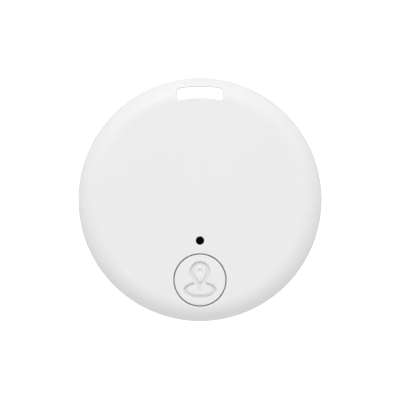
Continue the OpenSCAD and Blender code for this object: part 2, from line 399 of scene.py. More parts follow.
def at_polar(distance, angle):
    """The place at a distance and an angle in degrees from the case's centre."""
    return distance * math.cos(math.radians(angle)), distance * math.sin(math.radians(angle))


rear_stakes = together(*[spun(stake_profile(), centre=at_polar(*place), steps=40) for place in stakes])
rib_low = floor_z - 0.1
rear_ribs = together(*[boxed((2.2, 0.5, board_z - rib_low), (16.7, 0, (board_z + rib_low) / 2), turn)
                       for turn in rib_angles])
pry_notch = boxed((7, 2, 1.4), (0, notch_floor_y - 1, split_z))
bmesh.ops.bevel(pry_notch, geom=[e for e in pry_notch.edges if abs(e.verts[0].co.y - e.verts[1].co.y) > 1],
                offset=0.3, segments=4, profile=0.5, affect="EDGES", material=-1)

rear_bm = carved(
    spun(rear_profile, steps=shell_steps),
    ("UNION", slot_boss(wall * 0.5, split_z)),
    ("UNION", rear_tongue),
    ("UNION", rear_ribs),
    ("UNION", rear_stakes),
    ("DIFFERENCE", slot_cutter(split_z + 0.004)),
    ("DIFFERENCE", pry_notch),
)


def new_material(name, colour, roughness, metallic=0.0):
    """A material with its Principled shader and a way to add nodes."""
    material = bpy.data.materials.new(name)
    material.use_nodes = True
    surface = material.node_tree.nodes["Principled BSDF"]
    surface.inputs["Base Color"].default_value = (*colour, 1)
    surface.inputs["Roughness"].default_value = roughness
    surface.inputs["Metallic"].default_value = metallic
    return material, surface


def add_node(tree, kind, links=(), **values):
    """Adds a node, sets its properties or sockets by name, and links (socket name, source socket) pairs."""
    node = tree.nodes.new(kind)
    for key, value in values.items():
        if hasattr(node, key):
            setattr(node, key, value)
        else:
            node.inputs[key.replace("_", " ").title()].default_value = value
    for key, source in links:
        tree.links.new(source, node.inputs[key])
    return node


def new_group(name, inputs):
    """A shader node group with inputs (name, default) that gives a height and a drift."""
    group = bpy.data.node_groups.new(name, "ShaderNodeTree")
    for key, default in inputs:
        socket = group.interface.new_socket(name=key, in_out="INPUT", socket_type="NodeSocketFloat")
        socket.default_value = default
    for key in ("Height", "Drift"):
        group.interface.new_socket(name=key, in_out="OUTPUT", socket_type="NodeSocketFloat")
    return group, group.nodes.new("NodeGroupInput"), group.nodes.new("NodeGroupOutput")


def in_millimetres(tree):
    """The piece's own coordinates in millimetres."""
    place = add_node(tree, "ShaderNodeTexCoord")
    scaled = add_node(tree, "ShaderNodeMapping", [("Vector", place.outputs["Object"])])
    scaled.inputs["Scale"].default_value = (1 / MM, 1 / MM, 1 / MM)
    return scaled


# Fine spark-eroded mould texture: a grain that the skin takes from the mould, with slow cloudy drift
mould_grain, grain_in, grain_out = new_group("mould_grain", [("Grain per mm", 7.0), ("Drift per mm", 0.12)])
grain_mm = in_millimetres(mould_grain)
grain_fine = add_node(mould_grain, "ShaderNodeTexNoise",
                      [("Vector", grain_mm.outputs[0]), ("Scale", grain_in.outputs["Grain per mm"])],
                      detail=2.0, roughness=0.6)
grain_slow = add_node(mould_grain, "ShaderNodeTexNoise",
                      [("Vector", grain_mm.outputs[0]), ("Scale", grain_in.outputs["Drift per mm"])],
                      detail=3.0, roughness=0.5)
mould_grain.links.new(grain_fine.outputs["Fac"], grain_out.inputs["Height"])
mould_grain.links.new(grain_slow.outputs["Fac"], grain_out.inputs["Drift"])


def remapped(tree, source, low, high):
    """A value from 0 to 1 spread over another range."""
    spread = add_node(tree, "ShaderNodeMapRange", [("Value", source)])
    spread.inputs["To Min"].default_value = low
    spread.inputs["To Max"].default_value = high
    return spread.outputs["Result"]


def bumped(tree, surface, height, depth_mm):
    """Feeds a height into a surface's normal, with the depth in millimetres."""
    bump = add_node(tree, "ShaderNodeBump", [("Height", height)])
    bump.inputs["Strength"].default_value = 1.0
    bump.inputs["Distance"].default_value = depth_mm * MM
    tree.links.new(bump.outputs["Normal"], surface.inputs["Normal"])


def tinted(tree, surface, mask, low_colour, high_colour):
    """Mixes two colours by a mask into the base colour."""
    mix = add_node(tree, "ShaderNodeMix", [(0, mask)], data_type="RGBA")
    mix.inputs[6].default_value = (*low_colour, 1)
    mix.inputs[7].default_value = (*high_colour, 1)
    tree.links.new(mix.outputs[2], surface.inputs["Base Color"])


def finished(name, group, low_colour, high_colour, roughness, depth_mm, metallic=0.0, group_values=None):
    """A material whose bump, colour and gloss follow a group's height and drift."""
    material, surface = new_material(name, high_colour, roughness, metallic)
    tree = material.node_tree
    skin = add_node(tree, "ShaderNodeGroup", node_tree=group)
    for key, value in (group_values or {}).items():
        skin.inputs[key].default_value = value
    bumped(tree, surface, skin.outputs["Height"], depth_mm)
    tinted(tree, surface, skin.outputs["Drift"], low_colour, high_colour)
    tree.links.new(remapped(tree, skin.outputs["Drift"], roughness - 0.05, roughness + 0.05),
                   surface.inputs["Roughness"])
    return material


def white_plastic(name, low_grey, high_grey, roughness, grain_per_mm, depth_mm):
    """White ABS, which lets a little light through its skin."""
    plastic = finished(name, mould_grain, (low_grey,) * 3, (high_grey,) * 3, roughness, depth_mm, 0.0,
                       {"Grain per mm": grain_per_mm})
    surface = plastic.node_tree.nodes["Principled BSDF"]
    surface.inputs["Subsurface Weight"].default_value = 0.3
    surface.inputs["Subsurface Radius"].default_value = (1, 1, 1)
    surface.inputs["Subsurface Scale"].default_value = 0.12 * MM
    return plastic


case_plastic = white_plastic("white_abs", 0.845, 0.86, 0.46, 7.0, 0.006)
make_piece("rear_half", rear_bm, "base", case_plastic, ["rear_shell"])


# ---------------------------------------------------------------------------
# Front shell. The upper half of the case, moulded in the same white ABS, with
# the button's bore and its collar, the sound hole and the rabbet that takes
# the rear half's tongue. Its edges are softly rounded.
# ---------------------------------------------------------------------------

button_low, button_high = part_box("button_cap")
button_y = (button_low.y + button_high.y) / 2 / MM
mesh_low, mesh_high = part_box("dust_mesh")
sound_y = (mesh_low.y + mesh_high.y) / 2 / MM
button_r = 3.98
bore_r = button_r + 0.15
collar_r = bore_r + 0.65
collar_z = ceiling_z - 0.5
sound_hole_r = 0.66
rabbet_gap = 0.05


def mouth_cutter(x, y, radius, mouth_r, low, steps):
    """A round hole down to a height, with a rounded mouth that follows the case's skin."""
    mouth = [(radius + growth, case_h + rise) for rise, growth in flare(mouth_r, steps=5)]
    bm = spun([(radius, low)] + mouth, centre=(x, y), steps=steps)
    for vert in bm.verts:
        if vert.co.z > case_h - wall / 2:
            vert.co.z -= shoulder_drop(vert.co.x, vert.co.y)
    return bm


front_profile = (
    [(case_r - wall, split_z)]
    + arc((case_r - seam_r, split_z + seam_r), seam_r, -90, 0, 5)
    + arc((shoulder_r, case_h - edge_r), edge_r, 0, 90, 22)
)
front_inside = arc((shoulder_r, case_h - edge_r), edge_r - wall, 90, 0, 12)
rabbet_in, rabbet_out = tongue_in - rabbet_gap, tongue_out + rabbet_gap
rabbet_low, rabbet_high = split_z - 0.5, tongue_top + rabbet_gap
front_rabbet = carved(
    spun([(rabbet_in, rabbet_low), (rabbet_out, rabbet_low),
          (rabbet_out, rabbet_high), (rabbet_in, rabbet_high)], steps=shell_steps, closed=True),
    ("DIFFERENCE", tongue_gap(5.0)))
button_collar = spun([(bore_r - 0.5, collar_z), (collar_r - 0.1, collar_z), (collar_r, collar_z + 0.1),
                      (collar_r, ceiling_z + wall * 0.3), (bore_r - 0.5, ceiling_z + wall * 0.3)],
                     centre=(0, button_y), steps=96, closed=True)
keyway_low = collar_z - 0.01
keyway = boxed((1.2, 1, ceiling_z - keyway_low), (0, button_y + bore_r, (ceiling_z + keyway_low) / 2))

front_bm = carved(
    spun(front_inside + front_profile, steps=shell_steps),
    ("UNION", slot_boss(split_z, case_h - wall * 0.5)),
    ("UNION", button_collar),
    ("DIFFERENCE", front_rabbet),
    ("DIFFERENCE", slot_cutter(split_z - 0.004)),
    ("DIFFERENCE", mouth_cutter(0, button_y, bore_r, 0.18, collar_z - 1, 120)),
    ("DIFFERENCE", keyway),
    ("DIFFERENCE", mouth_cutter(0, sound_y, sound_hole_r, 0.08, ceiling_z - 1, 64)),
)
make_piece("front_half", front_bm, "front", case_plastic, ["front_shell"])


# ---------------------------------------------------------------------------
# Button cap. A separate ABS moulding that sits flush in the front half on a
# flange with a key, hollow behind with a stem in the middle. A map pin on a
# ring is sunk into its face.
# ---------------------------------------------------------------------------

flange_r = (button_high.x - button_low.x) / 2 / MM
stem_low = button_low.z / MM
flange_low = collar_z - 0.58
flange_high = collar_z - 0.08
cap_skin = case_h - wall
cap_hollow_r = 3.23
cap_edge_r = 0.18
stem_r = 1.1
rib_l, rib_t = 6.9, 0.5
icon_depth = 0.6

cap_profile = (
    [(stem_r - 0.1, stem_low), (stem_r, stem_low + 0.1), (stem_r, cap_skin),
     (cap_hollow_r, cap_skin), (cap_hollow_r, flange_low),
     (flange_r - 0.08, flange_low), (flange_r, flange_low + 0.08), (flange_r, flange_high - 0.05),
     (flange_r - 0.05, flange_high), (button_r, flange_high)]
    + arc((button_r - cap_edge_r, case_h - cap_edge_r), cap_edge_r, 0, 90, 6)
)
cap_solid = spun(cap_profile, centre=(0, button_y), steps=120)
for step in range(7):
    bmesh.ops.bisect_plane(cap_solid, geom=cap_solid.verts[:] + cap_solid.edges[:] + cap_solid.faces[:],
                           dist=1e-6, plane_co=(0, -shoulder_r - 0.08 * step, 0), plane_no=(0, 1, 0))
for vert in cap_solid.verts:
    if vert.co.z > cap_skin + 0.1:
        vert.co.z -= shoulder_drop(vert.co.x, vert.co.y)


def pin_outline(radius, tip, grow):
    """A map pin: a round head that tapers to a tip below it."""
    tip *= (radius + grow) / radius
    radius += grow
    turn = math.degrees(math.acos(radius / tip))
    return arc((0, 0), radius, turn - 90, 270 - turn, 44) + [(0, -tip)]


def oval_outline(wide, high, grow):
    """A flat ring seen at a slant."""
    turns = [2 * math.pi * i / 64 for i in range(64)]
    return [((wide + grow) * math.cos(t), (high + grow) * math.sin(t)) for t in turns]


def icon_ring(outline, sizes, centre_y, grow, z):
    """One of the sign's outlines, grown, at a height on the button."""
    return [(x, button_y + centre_y + y, z) for x, y in outline(*sizes, grow)]


def icon_wall(outline, sizes, centre_y, depth):
    """A sunk shape with a wall that leans out, rounded at the face and at its floor."""
    levels = [(0, -0.1), (0.08, -0.06), (0.9, 0.04), (0.96, 0.05), (0.99, 0.07), (1.5, 0.26)]
    return lofted([icon_ring(outline, sizes, centre_y, grow, case_h + depth * (rise - 1))
                   for rise, grow in levels])


def icon_island(outline, sizes, centre_y, skirt):
    """What stands up in a sunk shape. Its side rises from the floor in a long soft slope."""
    slope = [(1.1, -0.12), (1.0, 0.0), (0.75, 0.06), (0.5, 0.2), (0.32, 0.42), (0.18, 0.66), (0.08, 0.86),
             (0.0, 0.97), (-0.06, 1.0), (-0.15, 1.03), (-0.2, 1.6)]
    return lofted([icon_ring(outline, sizes, centre_y, skirt * out, icon_floor + icon_depth * rise)
                   for out, rise in slope])


icon_floor = case_h - icon_depth
pin_y = 1.31
oval_y = -1.51
oval_groove = carved(icon_wall(oval_outline, (2.54, 1.235), oval_y, icon_depth),
                     ("DIFFERENCE", icon_island(oval_outline, (1.9, 0.7), oval_y, 0.52)))
pin_groove = carved(icon_wall(pin_outline, (1.61, 3.15), pin_y, icon_depth + 0.012),
                    ("DIFFERENCE", icon_island(pin_outline, (0.85, 1.6), pin_y, 0.66)))
rib_h = cap_skin - flange_low + 0.02
rib_middle = (0, button_y, (cap_skin + flange_low) / 2)
cap_bm = carved(
    cap_solid,
    ("UNION", boxed((rib_l, rib_t, rib_h), rib_middle)),
    ("UNION", boxed((rib_t, rib_l, rib_h), rib_middle)),
    ("UNION", boxed((1, 0.8, 0.8), (0, button_y + button_r + 0.15, flange_low + 0.4))),
    ("DIFFERENCE", oval_groove),
    ("DIFFERENCE", pin_groove),
    ("DIFFERENCE", icon_wall(pin_outline, (0.4, 0.5), pin_y + 0.05, icon_depth * 0.5)),
)
button_plastic = white_plastic("button_abs", 0.85, 0.865, 0.42, 8.0, 0.004)
make_piece("push_button", cap_bm, "button", button_plastic, ["button_cap"])


# ---------------------------------------------------------------------------
# Circuit board. Glass-cloth laminate under green solder mask, its copper
# tracks and the meander antenna standing up through the mask, with gold test
# pads and stitching vias and white printed outlines.
# ---------------------------------------------------------------------------

flats_angle = 40        # the flats of a curved wall turn by less than this, in degrees
track_h = 0.02
print_h = 0.012
inked_z = top_z - 0.01  # tracks and print start just inside the mask


def cad_copy(node):
    """The mesh of a part of the frame in millimetres, with its triangles merged back into flat faces."""
    bm = bmesh.new()
    bm.from_mesh(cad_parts[node].data)
    bmesh.ops.scale(bm, vec=(1 / MM, 1 / MM, 1 / MM), verts=bm.verts)
    bmesh.ops.remove_doubles(bm, verts=bm.verts, dist=1e-3)
    bmesh.ops.dissolve_limit(bm, angle_limit=math.radians(1), verts=bm.verts, edges=bm.edges)
    bmesh.ops.recalc_face_normals(bm, faces=bm.faces)
    return bm


def softened(bm, width, segments=2):
    """Rounds every edge that is sharper than the joins between a curve's flats."""
    edges = [e for e in bm.edges if e.is_manifold and e.calc_face_angle() > math.radians(flats_angle)]
    bmesh.ops.bevel(bm, geom=edges, offset=width, segments=segments, profile=0.5, affect="EDGES",
                    material=-1, clamp_overlap=True)
    return bm


def make_softened(name, node, body, material, width, segments=2):
    """A piece that keeps its frame part's shape and only has its edges rounded."""
    make_piece(name, softened(cad_copy(node), width, segments), body, material, [node])


def ribbon(points, width, low, high):
    """A flat strip along a line of points, with mitred corners."""
    points = [Vector(p) for p in points]
    rings = []
    for i, point in enumerate(points):
        before = (point - points[i - 1] if i else points[1] - point).normalized()
        after = (points[i + 1] - point).normalized() if i + 1 < len(points) else before
        side = Vector((-before.y - after.y, before.x + after.x)) * (width / 2 / (1 + before.dot(after)))
        left, right = point + side, point - side
        rings.append([(*left, low), (*right, low), (*right, high), (*left, high)])
    return lofted(rings)


def print_box(centre, size, turn=0, gap=0.0):
    """Four thin printed lines round a part, with an opening in each when gap is above 0."""
    wide, deep = size[0] / 2, size[1] / 2
    lines = []
    for sx, sy in ((1, 1), (-1, 1), (-1, -1), (1, -1)):
        corner = Vector((sx * wide, sy * deep))
        along_x, along_y = Vector((sx * wide * gap, sy * deep)), Vector((sx * wide, sy * deep * gap))
        spin = Matrix.Rotation(math.radians(turn), 2)
        lines.append(ribbon([spin @ p + Vector(centre) for p in (along_x, corner, along_y)], 0.12,
                            inked_z, top_z + print_h))
    return lines


buzzer_xy = at_polar(12.6, 222)
antenna = []
for step in range(13):
    near, far = at_polar(14.1, 2 + step * 4.6), at_polar(15.9, 2 + step * 4.6)
    antenna += [near, far] if step % 2 else [far, near]
tracks = [
    [(7.4, -6.9), (9.6, -5.4), (12.2, -2.6), (13.4, -0.4), (14.1, 0.5)],
    [(4.3, -8.2), (2.6, -8.2), (1.5, -9.2), (0.9, -9.2)],
    [(4.3, -9.4), (3.1, -9.4), (2.75, -9.9), (2.75, -11.05)],
    [(5.2, -10.9), (5.2, -12.6), (3.6, -14.05), (2.75, -14.05)],
    [(6.2, -10.9), (6.2, -13.2), (4.4, -15.2)],
    [(7.2, -10.9), (7.9, -11.7), (8.9, -11.7)],
    [(8.3, -8.6), (9.5, -8.6), (10.2, -9.2)],
    [(8.3, -9.6), (9.0, -10.3), (11.4, -10.3), (12.4, -10.0)],
    [(-2.75, -11.05), (-3.5, -10.6), (-4.4, -10.6)],
    [(-2.75, -14.05), (-3.4, -14.6), (-4.4, -14.6)],
    [(-5.6, -12.2), (-5.6, -13.0)],
    [(-4.4, -12.2), (-4.4, -13.0)],
    [(-5.6, -10.6), (-6.4, -10.0), (-7.2, -10.0)],
    [(-5.6, -14.6), (-6.6, -13.8), (-7.6, -12.4), (-8.4, -11.2)],
    [(-3.1, -8.1), (-1.9, -7.8), (-1.0, -6.6), (0.6, -5.2)],
    [(-4.7, -8.1), (-6.2, -7.0), (-6.4, -5.9)],
    [(-12.6, -5.2), (-13.0, -1.4), (-12.9, -0.6)],
    [(-13.6, 3.8), (-13.8, 5.4), (-13.2, 7.6), (-11.6, 10.2), (-9.6, 12.2)],
    [(11.9, -1.3), (10.9, -3.6), (8.6, -5.6)],
]
pads = [(-12.9, -0.4, 0.5), (-13.5, 1.5, 0.5), (-13.6, 3.5, 0.5), (12.0, -1.1, 0.45), (12.5, 0.9, 0.45),
        (12.6, 2.9, 0.45), (12.2, 4.9, 0.45), (-1.9, -15.6, 0.45), (0.0, -15.9, 0.45), (1.6, -15.75, 0.35)]
vias = [(*at_polar(16.15, turn), 0.17) for turn in range(116, 290, 8)]
vias += [(9.0, -13.4, 0.17), (7.6, -13.9, 0.17), (13.3, -6.1, 0.17), (2.2, -7.1, 0.17), (-7.1, -13.7, 0.17),
         (11.2, 6.9, 0.17), (10.9, 8.3, 0.17)]
tracks_bm = together(*[ribbon(line, 0.2, inked_z, top_z + track_h) for line in tracks],
                     ribbon(antenna, 0.42, inked_z, top_z + track_h + 0.001))
pads_bm = together(*[spun([(radius, top_z - 0.01), (radius, top_z + 0.02), (radius - 0.03, top_z + 0.03)],
                          centre=(x, y), steps=20) for x, y, radius in pads + vias])
print_bm = together(
    *print_box((0, button_y), (5.6, 5.6), gap=0.35),
    *print_box((6.3, -8.9), (4.6, 4.6), gap=0.6),
    *print_box((11.1, -8.1), (3.7, 3.0), -36, 0.4),
    *print_box(buzzer_xy, (5.5, 5.5), 222, 0.3),
    ribbon(arc((0, 4.2), 10.6, -62, 50, 36), 0.12, inked_z, top_z + print_h),
    ribbon([(-13.9, 9.0), (-12.9, 9.0)], 0.16, inked_z, top_z + print_h),
    ribbon([(-13.4, 8.5), (-13.4, 9.5)], 0.16, inked_z, top_z + print_h + 0.002),
    spun([(0.16, top_z - 0.01), (0.16, top_z + print_h)], centre=(3.7, -6.5), steps=16),
)

# Plain weave that shows through a skin, with slow cloudy drift
glass_cloth, cloth_in, cloth_out = new_group("glass_cloth", [("Threads per mm", 2.0)])
cloth_mm = in_millimetres(glass_cloth)
cloth_warp, cloth_weft = (
    add_node(glass_cloth, "ShaderNodeTexWave",
             [("Vector", cloth_mm.outputs[0]), ("Scale", cloth_in.outputs["Threads per mm"])],
             bands_direction=direction, distortion=0.3)
    for direction in ("X", "Y"))
cloth_weave = add_node(glass_cloth, "ShaderNodeMath",
                       [(0, cloth_warp.outputs["Fac"]), (1, cloth_weft.outputs["Fac"])],
                       operation="MULTIPLY")
cloth_cloud = add_node(glass_cloth, "ShaderNodeTexNoise", [("Vector", cloth_mm.outputs[0])],
                       scale=0.35, detail=4.0)
glass_cloth.links.new(cloth_weave.outputs[0], cloth_out.inputs["Height"])
glass_cloth.links.new(cloth_cloud.outputs["Fac"], cloth_out.inputs["Drift"])

# Fine lines that the rollers leave in sheet metal, with cloudy tarnish
rolled_metal, rolled_in, rolled_out = new_group("rolled_metal", [("Lines per mm", 9.0), ("Stretch", 0.08)])
rolled_scale = add_node(rolled_metal, "ShaderNodeCombineXYZ", [("X", rolled_in.outputs["Stretch"])])
rolled_scale.inputs["Y"].default_value = 1.0
rolled_scale.inputs["Z"].default_value = 1.0
rolled_mm = in_millimetres(rolled_metal)
rolled_long = add_node(rolled_metal, "ShaderNodeVectorMath",
                       [(0, rolled_mm.outputs[0]), (1, rolled_scale.outputs[0])], operation="MULTIPLY")
rolled_lines = add_node(rolled_metal, "ShaderNodeTexNoise",
                        [("Vector", rolled_long.outputs[0]), ("Scale", rolled_in.outputs["Lines per mm"])],
                        detail=3.0, roughness=0.7)
rolled_cloud = add_node(rolled_metal, "ShaderNodeTexNoise", [("Vector", rolled_mm.outputs[0])],
                        scale=0.5, detail=5.0)
rolled_metal.links.new(rolled_lines.outputs["Fac"], rolled_out.inputs["Height"])
rolled_metal.links.new(rolled_cloud.outputs["Fac"], rolled_out.inputs["Drift"])


def moulded(name, low_colour, high_colour, roughness, depth_mm):
    """A skin that comes out of a mould: fine grain, and a slow drift in its colour and gloss."""
    return finished(name, mould_grain, low_colour, high_colour, roughness, depth_mm)


def sheet_metal(name, low_colour, high_colour, roughness, depth_mm=0.0015, lines_per_mm=9.0, stretch=0.08):
    """Bare or plated sheet: fine rolling lines, cloudy tarnish in its colour and gloss."""
    return finished(name, rolled_metal, low_colour, high_colour, roughness, depth_mm, 1.0,
                    {"Lines per mm": lines_per_mm, "Stretch": stretch})


solder_mask = finished("green_mask", glass_cloth, (0.012, 0.15, 0.06), (0.02, 0.2, 0.085), 0.3, 0.004)
gold = sheet_metal("gold_plating", (0.83, 0.58, 0.24), (0.95, 0.72, 0.34), 0.26)
legend_ink = moulded("legend_ink", (0.78, 0.78, 0.75), (0.86, 0.86, 0.83), 0.6, 0.003)
track_mask = finished("mask_over_copper", glass_cloth, (0.03, 0.3, 0.13), (0.045, 0.36, 0.16), 0.25, 0.002)
make_softened("board", "circuit_board", "base", solder_mask, 0.04, 1)
make_piece("board_tracks", tracks_bm, "base", track_mask)
make_piece("board_pads", pads_bm, "base", gold)
make_piece("board_print", print_bm, "base", legend_ink)


# ---------------------------------------------------------------------------
# Battery clip and contact. The clip is bent from stainless strip, with its
# corners broken and a dimple pressed in its tongue. The contact under the
# cell is thin gold-plated copper foil with three arms.
# ---------------------------------------------------------------------------

clip_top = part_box("battery_clip")[1].z / MM
clip_dimple = spun([(0.62, clip_top - 0.05), (0.55, clip_top + 0.01), (0.4, clip_top + 0.07),
                    (0.2, clip_top + 0.1)], centre=(1.2, 4.2), steps=32)
clip_steel = sheet_metal("clip_steel", (0.66, 0.66, 0.65), (0.78, 0.78, 0.77), 0.3)
make_piece("clip", carved(softened(cad_copy("battery_clip"), 0.05, 2), ("UNION", clip_dimple)),
           "base", clip_steel, ["battery_clip"])
make_softened("contact", "negative_contact", "base", gold, 0.015, 1)


# ---------------------------------------------------------------------------
# Switch. A moulded nylon base with a thin steel dome in its well, which goes
# flat when it is pressed, a pressed steel cover held by four melted pins, four
# tinned legs soldered to the board and a loose plunger with a rounded tip.
# ---------------------------------------------------------------------------

plunger_low, plunger_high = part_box("switch_plunger")
dome_low, dome_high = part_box("switch_dome")
cover_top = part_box("switch_cover")[1].z / MM
plunger_base = plunger_low.z / MM
plunger_top = plunger_high.z / MM
dome_t = 0.06
dome_r = (dome_high.x - dome_low.x) / 2 / MM
dome_rise = (dome_high.z - dome_low.z) / MM
ball_r = (dome_r ** 2 + dome_rise ** 2) / 2 / dome_rise        # the dome is a cap of this ball
ball_centre = (0, dome_high.z / MM - ball_r)


def solids_of(node):
    """Centre, turn in degrees and size of each separate block of a part of the frame. Its longest edge
    gives the turn, and of equal ones the one that is turned least."""
    bm = cad_copy(node)
    left = set(bm.verts)
    found = []
    while left:
        solid, reached = set(), [left.pop()]
        while reached:
            vert = reached.pop()
            solid.add(vert)
            for edge in vert.link_edges:
                other = edge.other_vert(vert)
                if other in left:
                    left.remove(other)
                    reached.append(other)
        runs = [(e.verts[1].co - e.verts[0].co).xy for v in solid for e in v.link_edges]
        turn = min((-round(run.length, 3), round(math.degrees(math.atan2(run.y, run.x)), 3) % 180)
                   for run in runs)[1]
        level = [Matrix.Rotation(math.radians(-turn), 3, "Z") @ v.co for v in solid]
        low = Vector([min(p[i] for p in level) for i in range(3)])
        high = Vector([max(p[i] for p in level) for i in range(3)])
        centre = Matrix.Rotation(math.radians(turn), 3, "Z") @ ((low + high) / 2)
        found.append((centre, turn, high - low))
    bm.free()
    return sorted(found, key=lambda solid: (round(solid[0].x, 2), round(solid[0].y, 2)))


def placed(bm, centre, turn):
    """Turns a shape that was made round the origin and moves it to its place."""
    bmesh.ops.rotate(bm, cent=(0, 0, 0), matrix=Matrix.Rotation(math.radians(turn), 3, "Z"), verts=bm.verts)
    bmesh.ops.translate(bm, vec=centre, verts=bm.verts)
    return bm


def fillet(length, wide, high):
    """A run of solder in the corner between the board and an end that faces +X."""
    rings = []
    for share, y in ((0.8, -wide / 2), (1, -wide / 2 + 0.08), (1, wide / 2 - 0.08), (0.8, wide / 2)):
        rise, run = high * share, length * share
        rings.append([(-0.02, y, 0), (run, y, 0), (run * 0.55, y, rise * 0.2), (run * 0.22, y, rise * 0.52),
                      (0, y, rise), (-0.02, y, rise)])
    return lofted(rings)


def soldered(solids, wide, high, length=0.28):
    """Solder at both ends of every block."""
    runs = []
    for centre, turn, size in solids:
        for side in (0, 180):
            spot = Matrix.Rotation(math.radians(turn + side), 3, "Z") @ Vector((size.x / 2, 0, 0))
            foot = (centre.x + spot.x, centre.y + spot.y, top_z)
            runs.append(placed(fillet(length, wide, high), foot, turn + side))
    return runs


pin_profile = [(0.24, cover_top - 0.05), (0.24, cover_top + 0.03), (0.18, cover_top + 0.07)]
cover_pins = together(*[spun(pin_profile, centre=(x * 1.9, button_y + y * 1.9), steps=20)
                        for x in (-1, 1) for y in (-1, 1)])
plunger_bm = spun([(1.45, plunger_base), (1.5, plunger_base + 0.05), (1.5, plunger_base + 0.14),
                   (1.46, plunger_base + 0.18), (1.1, plunger_base + 0.18)]
                  + arc((0.95, plunger_top - 0.15), 0.15, 0, 90, 5), centre=(0, button_y), steps=64)
foot_in, foot_out = (math.degrees(math.asin((ball_r - dome_rise) / radius))
                     for radius in (ball_r - dome_t, ball_r))
dome_bm = spun(arc(ball_centre, ball_r - dome_t, 89, foot_in, 12)
               + arc(ball_centre, ball_r, foot_out, 89, 12), centre=(0, button_y), steps=64)
terminal_solids = solids_of("switch_terminals")
switch_nylon = moulded("switch_nylon", (0.022, 0.022, 0.024), (0.035, 0.035, 0.037), 0.48, 0.004)
plunger_nylon = moulded("plunger_nylon", (0.03, 0.03, 0.03), (0.045, 0.045, 0.045), 0.42, 0.003)
cover_steel = sheet_metal("cover_steel", (0.62, 0.62, 0.61), (0.74, 0.74, 0.73), 0.34)
dome_steel = sheet_metal("dome_steel", (0.74, 0.72, 0.66), (0.84, 0.82, 0.76), 0.2, 0.0005)
tin = sheet_metal("tin", (0.7, 0.7, 0.68), (0.84, 0.84, 0.82), 0.3, 0.003, 4.0, 1.0)
make_piece("switch_body", together(softened(cad_copy("switch_base"), 0.05), cover_pins),
           "base", switch_nylon, ["switch_base"])
make_softened("switch_lid", "switch_cover", "base", cover_steel, 0.03)
make_piece("switch_legs", together(softened(cad_copy("switch_terminals"), 0.03),
                                   *soldered(terminal_solids, 0.66, 0.13, 0.2)),
           "base", tin, ["switch_terminals"])
make_piece("plunger_pin", plunger_bm, "plunger", plunger_nylon, ["switch_plunger"])
snap_dome = make_piece("snap_dome", dome_bm, "base", dome_steel, ["switch_dome"])
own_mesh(snap_dome)


# ---------------------------------------------------------------------------
# Buzzer. A black moulded housing with one cut corner and a ring sunk round
# its sound port, on four soldered pads.
# ---------------------------------------------------------------------------

buzzer_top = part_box("buzzer_case")[1].z / MM
port_ring = spun([(1.35, buzzer_top - 0.05), (1.35, buzzer_top + 0.2), (1.2, buzzer_top + 0.2),
                  (1.2, buzzer_top - 0.05)], steps=48, closed=True)
buzzer_bm = carved(softened(cad_copy("buzzer_case"), 0.08, 3),
                   ("DIFFERENCE", placed(port_ring, (*buzzer_xy, 0), 0)))
buzzer_plastic = moulded("buzzer_plastic", (0.02, 0.02, 0.021), (0.034, 0.034, 0.035), 0.5, 0.006)
make_piece("buzzer", buzzer_bm, "base", buzzer_plastic, ["buzzer_case"])
make_piece("buzzer_feet", together(softened(cad_copy("buzzer_pads"), 0.03),
                                   *soldered(solids_of("buzzer_pads"), 1.0, 0.09, 0.25)),
           "base", tin, ["buzzer_pads"])


# ---------------------------------------------------------------------------
# Radio chip and crystal. The chip is black epoxy with a dimple at pin one and
# tinned pads along its foot. The crystal is a ceramic tray with a seam-welded
# steel lid.
# ---------------------------------------------------------------------------

chip_low, chip_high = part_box("radio_chip")
chip_xy = ((chip_low.x + chip_high.x) / 2 / MM, (chip_low.y + chip_high.y) / 2 / MM)
chip_top = chip_high.z / MM
pin_dimple = spun([(0.3, chip_top + 0.1), (0.3, chip_top - 0.02), (0.24, chip_top - 0.06),
                   (0.1, chip_top - 0.08)], centre=(chip_xy[0] - 1.4, chip_xy[1] + 1.4), steps=24)
chip_pads = [placed(boxed((0.24, 0.22, 0.2), (2 - 0.1, -1.5 + 0.5 * row, top_z + 0.1)), (*chip_xy, 0), turn)
             for turn in (0, 90, 180, 270) for row in range(7)]
crystal_centre, crystal_turn, crystal_size = solids_of("crystal")[0]
crystal_tray = softened(boxed((crystal_size.x, crystal_size.y, 0.42), (0, 0, 0.21)), 0.05)
crystal_lid = softened(boxed((crystal_size.x - 0.3, crystal_size.y - 0.3, 0.28), (0, 0, 0.56)), 0.09, 3)
chip_resin = moulded("chip_resin", (0.024, 0.024, 0.026), (0.042, 0.042, 0.045), 0.55, 0.008)
tray_ceramic = moulded("tray_ceramic", (0.1, 0.095, 0.09), (0.14, 0.135, 0.125), 0.6, 0.006)
lid_steel = sheet_metal("lid_steel", (0.68, 0.67, 0.63), (0.8, 0.79, 0.74), 0.24)
crystal_foot = (crystal_centre.x, crystal_centre.y, top_z)
make_piece("chip", carved(softened(cad_copy("radio_chip"), 0.04), ("DIFFERENCE", pin_dimple)),
           "base", chip_resin, ["radio_chip"])
make_piece("chip_pads", together(*chip_pads), "base", tin)
make_piece("crystal_tray", placed(crystal_tray, crystal_foot, crystal_turn),
           "base", tray_ceramic)
make_piece("crystal_cover", placed(crystal_lid, crystal_foot, crystal_turn),
           "base", lid_steel, ["crystal"])


# ---------------------------------------------------------------------------
# Light, capacitors and resistors. Small soldered blocks: a white housing with
# a yellow phosphor block on it, tan ceramic and black glaze bodies, all with
# tinned ends.
# ---------------------------------------------------------------------------

end_l = 0.3


def chip_bodies(solids, shrink):
    """The middles of two-ended parts, a little smaller than their metal ends."""
    return together(*[placed(softened(boxed((size.x - 0.1, size.y - shrink, size.z - shrink),
                                            (0, 0, (size.z - shrink) / 2 + 0.01)), 0.03),
                             (centre.x, centre.y, top_z), turn) for centre, turn, size in solids])


